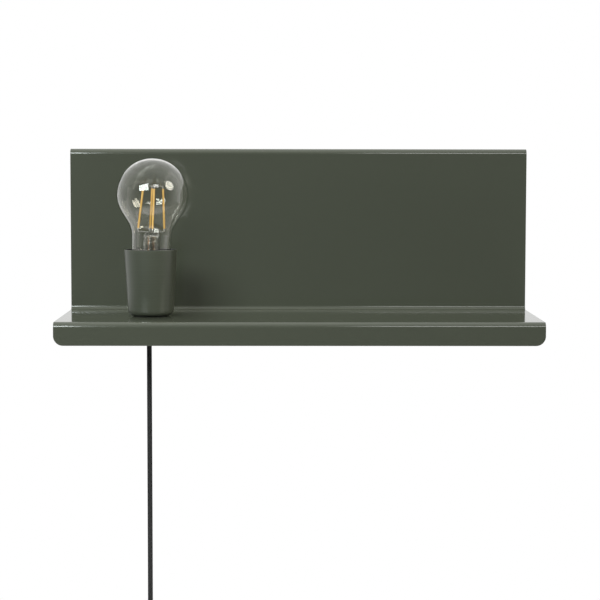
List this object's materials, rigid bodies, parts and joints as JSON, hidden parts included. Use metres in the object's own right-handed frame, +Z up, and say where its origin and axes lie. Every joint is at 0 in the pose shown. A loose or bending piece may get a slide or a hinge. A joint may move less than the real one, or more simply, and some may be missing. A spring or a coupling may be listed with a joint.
{
  "type": "wall lamp with shelf",
  "caption": "Folded steel wall shelf with a socket cup and a clear screw-in bulb, hung on a screwed bracket, with a hanging cord, an inline rocker switch and a flat two-pin plug.",
  "frame": {"origin": "on the wall plane, in the middle of the line through the bracket's two screw slots", "axes": "+X to the right as seen from the room, +Y into the wall, +Z up"},
  "size_m": [0.5, 0.18, 0.723],
  "materials": {
    "bracket_zinc": "zinc plated, satin",
    "green_paint": "dark green powder coat, satin",
    "bumper_rubber": "matt",
    "holder_plastic": "black, fine matt",
    "holder_ceramic": "glazed white",
    "contact_brass": "plain",
    "wire_sleeve": "smooth",
    "zinc_fittings": "zinc plated",
    "clear_glass": "clear, polished",
    "cap_nickel": "nickel plated",
    "cap_black_glass": "gloss black glass",
    "driver_board": "board with one capacitor",
    "filament_phosphor": "amber coating",
    "bulb_wire": "bright wire",
    "textile_cord": "braided, dark grey",
    "switch_plastic": "black, fine matt",
    "rocker_plastic": "black, smooth",
    "tie_strap": "woven strap",
    "plug_plastic": "black, fine matt",
    "pin_nickel": "nickel plated"
  },
  "bodies": {
    "bracket": {"wall_bracket": "bracket_zinc"},
    "lamp": {"shelf_body": "green_paint", "cup": "green_paint", "wall_bumpers": "bumper_rubber", "cup_gasket": "bumper_rubber", "holder_cap": "holder_plastic", "holder_skirt": "holder_plastic", "cord_grip": "holder_plastic", "holder_insert": "holder_ceramic", "holder_terminals": "contact_brass", "screw_shell": "contact_brass", "centre_contact": "contact_brass", "switch_contacts": "contact_brass", "core_wires": "wire_sleeve", "nipple": "zinc_fittings", "toothed_washer": "zinc_fittings", "lock_nut": "zinc_fittings", "grip_screw": "zinc_fittings", "switch_screws": "zinc_fittings", "cord_in_lamp": "textile_cord", "cord_drop": "textile_cord", "cord_lead": "textile_cord", "cord_coil": "textile_cord", "cord_tail": "textile_cord", "switch_front": "switch_plastic", "switch_back": "switch_plastic", "coil_tie": "tie_strap", "plug_relief": "plug_plastic", "plug_body": "plug_plastic", "plug_pins": "pin_nickel"},
    "tip": {"contact_tip": "cap_nickel"},
    "bulb": {"bulb_glass": "clear_glass", "bulb_stem": "clear_glass", "bulb_cap": "cap_nickel", "cap_insulator": "cap_black_glass", "bulb_driver": "driver_board", "filaments": "filament_phosphor", "filament_tips": "bulb_wire", "support_wires": "bulb_wire"},
    "rocker": {"switch_rocker": "rocker_plastic"}
  },
  "joints": [
    {"name": "lamp_lift", "type": "slide", "parent": "bracket", "child": "lamp", "axis": [0, 0, 1], "range_m": [0, 0.014]},
    {"name": "bulb_rise", "type": "slide", "parent": "lamp", "child": "tip", "axis": [0.0279, 0, 0.9996], "range_m": [0, 0.022]},
    {"name": "bulb_turn", "type": "hinge", "parent": "tip", "child": "bulb", "pos_m": [-0.1565, -0.1, -0.107], "axis": [0.0279, 0, 0.9996], "range_deg": [0, 2160]},
    {"name": "switch_rock", "type": "hinge", "parent": "lamp", "child": "rocker", "pos_m": [-0.1583, -0.1043, -0.493], "axis": [1, 0, 0], "range_deg": [0, 16]}
  ],
  "couplings": [
    {"joint": "bulb_rise", "follows": "bulb_turn", "m_per_rad": 0.00057757}
  ]
}
